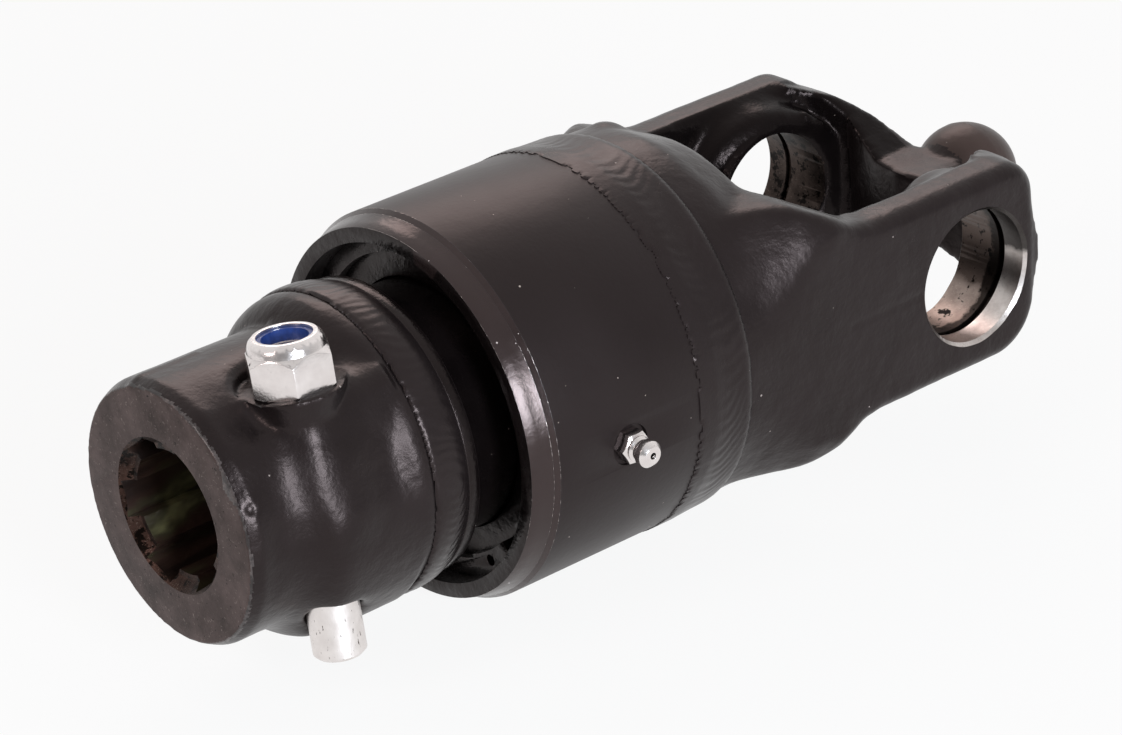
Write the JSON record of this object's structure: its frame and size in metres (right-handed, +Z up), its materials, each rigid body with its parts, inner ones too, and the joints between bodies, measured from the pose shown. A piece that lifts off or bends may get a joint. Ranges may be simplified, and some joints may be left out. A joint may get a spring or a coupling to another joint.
{
  "type": "drive shaft coupling",
  "caption": "Overrunning drive shaft coupling: splined clamp hub with a cross bolt, turned pawl-clutch housing, and a welded forged yoke with a centring ball for a wide-angle joint.",
  "frame": {"origin": "centre of the yoke's cross bore, where its axis meets the shaft axis", "axes": "+X along the shaft from the splined hub towards the centring ball, +Y along the cross bore, +Z up, square to the clamp bolt's nearest face"},
  "size_m": [0.2596, 0.1019, 0.0944],
  "materials": {
    "hub_paint": "satin black paint over forged steel, front face worn to bare steel",
    "housing_paint": "satin black paint over turned steel",
    "yoke_paint": "satin black paint over forged steel, cross bore left bare",
    "weld_paint": "black paint over a weld bead",
    "turned_steel": "turned steel, blackened where it shows",
    "ring_steel": "black film over flat steel",
    "zinc_plate": "bright zinc plate",
    "blue_nylon": "blue nylon",
    "black_rubber": "moulded black rubber",
    "bronze": "turned bearing bronze",
    "hard_steel": "ground and oiled hardened steel"
  },
  "bodies": {
    "housing": {"clutch_housing": "housing_paint", "retaining_ring": "ring_steel", "cover_washer": "ring_steel", "shaft_seal": "black_rubber", "front_bush": "bronze", "rear_bush": "bronze", "thrust_washer": "bronze", "yoke_weld": "weld_paint", "joint_yoke": "yoke_paint", "grease_nipple": "zinc_plate", "nipple_spring": "hard_steel"},
    "hub": {"splined_hub": "hub_paint", "hub_weld": "weld_paint", "pawl_carrier": "turned_steel", "clamp_bolt": "zinc_plate", "lock_nut": "zinc_plate", "nut_insert": "blue_nylon", "pawl_spring_1": "hard_steel", "pawl_spring_2": "hard_steel", "pawl_spring_3": "hard_steel", "pawl_spring_4": "hard_steel"},
    "pawl_top": {"drive_pawl_1": "hard_steel"},
    "pawl_near": {"drive_pawl_2": "hard_steel"},
    "pawl_bottom": {"drive_pawl_3": "hard_steel"},
    "pawl_far": {"drive_pawl_4": "hard_steel"},
    "check_ball": {"nipple_ball": "hard_steel"}
  },
  "joints": [
    {"name": "hub_spin", "type": "hinge", "parent": "housing", "child": "hub", "pos_m": [0, 0, 0], "axis": [1, 0, 0], "continuous": true},
    {"name": "pawl_top_slide", "type": "slide", "parent": "hub", "child": "pawl_top", "axis": [0, 0, 1], "range_m": [-0.0048, 0], "stiffness_N_per_m": 300, "springref_m": 0.004, "deforming": ["pawl_spring_1"]},
    {"name": "pawl_near_slide", "type": "slide", "parent": "hub", "child": "pawl_near", "axis": [0, -1, 0], "range_m": [-0.0048, 0], "stiffness_N_per_m": 300, "springref_m": 0.004, "deforming": ["pawl_spring_2"]},
    {"name": "pawl_bottom_slide", "type": "slide", "parent": "hub", "child": "pawl_bottom", "axis": [0, 0, -1], "range_m": [-0.0048, 0], "stiffness_N_per_m": 300, "springref_m": 0.004, "deforming": ["pawl_spring_3"]},
    {"name": "pawl_far_slide", "type": "slide", "parent": "hub", "child": "pawl_far", "axis": [0, 1, 0], "range_m": [-0.0048, 0], "stiffness_N_per_m": 300, "springref_m": 0.004, "deforming": ["pawl_spring_4"]},
    {"name": "check_ball_slide", "type": "slide", "parent": "housing", "child": "check_ball", "axis": [0, 0.9994, 0.0349], "range_m": [0, 0.001], "stiffness_N_per_m": 50, "springref_m": -0.002, "deforming": ["nipple_spring"]}
  ]
}
